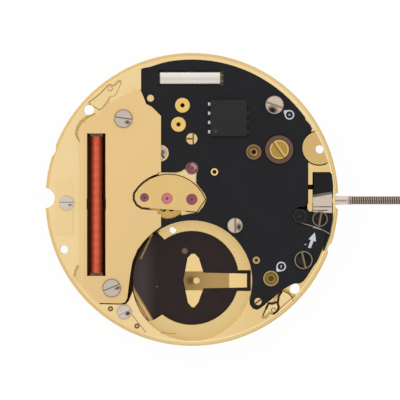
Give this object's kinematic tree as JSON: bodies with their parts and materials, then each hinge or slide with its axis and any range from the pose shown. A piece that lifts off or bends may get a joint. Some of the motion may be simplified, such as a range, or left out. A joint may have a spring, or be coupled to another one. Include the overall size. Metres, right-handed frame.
{
  "type": "watch movement",
  "caption": "Round quartz analogue watch movement with gilt plate, open battery well, coil, gear train, setting stem and hand posts.",
  "frame": {"origin": "axis of the hands in the plane of the dial seat", "axes": "+Z from the dial side to the battery side, along the hands' axis; +X along the setting stem to the crown; +Y towards the crystal"},
  "size_m": [0.0334, 0.0238, 0.0042],
  "materials": {
    "plate": "gilt brass, fine matt grain, polished edges",
    "gilt": "gilt brass, satin",
    "gilt_brushed": "pale gilt, brushed along the length",
    "pale_gilt": "pale gilt spring sheet",
    "dark_brass": "unplated turned brass",
    "brass": "turned brass",
    "steel": "polished steel",
    "tin": "bright nickel or tin plate",
    "magnet": "sintered magnet",
    "copper_enamel": "enamelled copper wire, orange red",
    "ruby": "polished synthetic ruby",
    "board": "black solder mask",
    "chip": "black moulded package",
    "black_plastic": "black moulded plastic",
    "black_polished": "black polished surface",
    "insulator_film": "dark brown insulating film",
    "trimmer_ceramic": "brown ceramic"
  },
  "bodies": {
    "frame": {"main_plate": "plate", "centre_tube": "steel", "plate_jewels": "ruby", "train_bridge": "gilt", "bridge_jewels": "ruby", "coil_cover": "gilt_brushed", "circuit_board": "board", "integrated_circuit": "chip", "chip_leads": "tin", "quartz_crystal": "tin", "crystal_leads": "tin", "trimmer_body": "trimmer_ceramic", "motor_terminals": "gilt", "contact_tubes": "dark_brass", "board_rivets": "gilt", "insulator": "insulator_film", "negative_contact": "pale_gilt", "positive_contact": "gilt", "contact_rivets": "dark_brass", "stator": "steel", "coil_core": "steel", "coil_winding": "copper_enamel", "coil_outer_layer": "copper_enamel", "motion_posts": "steel", "dial_side_cover": "steel", "dial_cover_screws": "steel", "fork_pin": "steel", "lever_jumper": "steel", "stem_guide_block": "black_plastic", "lever_cap": "black_polished", "pivot_stud": "black_polished", "casing_clamp": "gilt_brushed", "cover_screws": "steel", "board_screws": "steel", "bridge_screw": "steel", "keyless_screws": "black_polished", "clamp_screw": "steel", "contact_screw": "steel"},
    "rotor": {"rotor_magnet": "magnet", "rotor_pinion": "steel"},
    "intermediate": {"intermediate_wheel": "gilt", "intermediate_pinion": "steel"},
    "seconds": {"seconds_wheel": "gilt", "seconds_arbor": "steel"},
    "third": {"third_wheel": "gilt", "third_pinion": "steel"},
    "centre": {"centre_wheel": "gilt"},
    "cannon": {"cannon_pinion": "steel"},
    "minute": {"minute_wheel": "gilt", "minute_pinion": "steel"},
    "hour": {"hour_wheel": "gilt"},
    "setting": {"setting_wheel": "steel"},
    "fork": {"clutch_fork": "steel"},
    "clutch_body": {"clutch": "steel"},
    "stem_body": {"stem": "steel"},
    "lever": {"setting_lever": "steel"},
    "trimmer": {"trimmer_rotor": "brass"},
    "left_clamp": {"left_foot_clamp": "gilt"},
    "right_clamp": {"right_foot_clamp": "gilt"}
  },
  "joints": [
    {"name": "seconds_spin", "type": "hinge", "parent": "frame", "child": "seconds", "pos_m": [0, 0, 0.001], "axis": [0, 0, 1], "continuous": true},
    {"name": "rotor_spin", "type": "hinge", "parent": "frame", "child": "rotor", "pos_m": [-0.00384, 0.00015, 0.001], "axis": [0, 0, 1], "continuous": true},
    {"name": "intermediate_spin", "type": "hinge", "parent": "frame", "child": "intermediate", "pos_m": [-0.00201, 0.00007, 0.001], "axis": [0, 0, 1], "continuous": true},
    {"name": "third_spin", "type": "hinge", "parent": "frame", "child": "third", "pos_m": [0, 0.0025, 0.001], "axis": [0, 0, 1], "continuous": true},
    {"name": "centre_spin", "type": "hinge", "parent": "frame", "child": "centre", "pos_m": [0, 0, 0.00043], "axis": [0, 0, 1], "continuous": true},
    {"name": "cannon_spin", "type": "hinge", "parent": "frame", "child": "cannon", "pos_m": [0, 0, 0], "axis": [0, 0, 1], "continuous": true},
    {"name": "minute_spin", "type": "hinge", "parent": "frame", "child": "minute", "pos_m": [0.00257, 0.0004, 0.0003], "axis": [0, 0, 1], "continuous": true},
    {"name": "hour_spin", "type": "hinge", "parent": "frame", "child": "hour", "pos_m": [0, 0, 0.0001], "axis": [0, 0, 1], "continuous": true},
    {"name": "setting_spin", "type": "hinge", "parent": "frame", "child": "setting", "pos_m": [0.00556, -0.00008, 0.0003], "axis": [0, 0, 1], "continuous": true},
    {"name": "fork_slide", "type": "slide", "parent": "frame", "child": "fork", "axis": [-1, 0, 0], "range_m": [0, 0.0005]},
    {"name": "clutch_spin", "type": "hinge", "parent": "fork", "child": "clutch_body", "pos_m": [0.008, -0.00008, 0.00085], "axis": [1, 0, 0], "continuous": true},
    {"name": "stem_pull", "type": "slide", "parent": "clutch_body", "child": "stem_body", "axis": [1, 0, 0], "range_m": [0, 0.0012]},
    {"name": "lever_swing", "type": "hinge", "parent": "frame", "child": "lever", "pos_m": [0.01041, -0.00159, 0.00036], "axis": [0, 0, -1], "range_deg": [0, 26.2]},
    {"name": "trimmer_turn", "type": "hinge", "parent": "frame", "child": "trimmer", "pos_m": [0.0071, 0.00405, 0.0018], "axis": [0, 0, 1], "range_deg": [-180, 180]},
    {"name": "left_clamp_swing", "type": "hinge", "parent": "frame", "child": "left_clamp", "pos_m": [-0.00664, 0.009, 0.0018], "axis": [0, 0, 1], "range_deg": [0, 8]},
    {"name": "right_clamp_swing", "type": "hinge", "parent": "frame", "child": "right_clamp", "pos_m": [0.00664, -0.009, 0.0018], "axis": [0, 0, 1], "range_deg": [0, 8]}
  ],
  "couplings": [
    {"joint": "rotor_spin", "follows": "seconds_spin", "ratio": 30},
    {"joint": "intermediate_spin", "follows": "seconds_spin", "ratio": -3},
    {"joint": "third_spin", "follows": "seconds_spin", "ratio": -0.13333},
    {"joint": "centre_spin", "follows": "seconds_spin", "ratio": 0.016667},
    {"joint": "minute_spin", "follows": "cannon_spin", "ratio": -0.33333},
    {"joint": "hour_spin", "follows": "cannon_spin", "ratio": 0.083333},
    {"joint": "setting_spin", "follows": "cannon_spin", "ratio": 0.6},
    {"joint": "fork_slide", "follows": "stem_pull", "ratio": 0.41667},
    {"joint": "lever_swing", "follows": "stem_pull", "rad_per_m": 379.61}
  ]
}
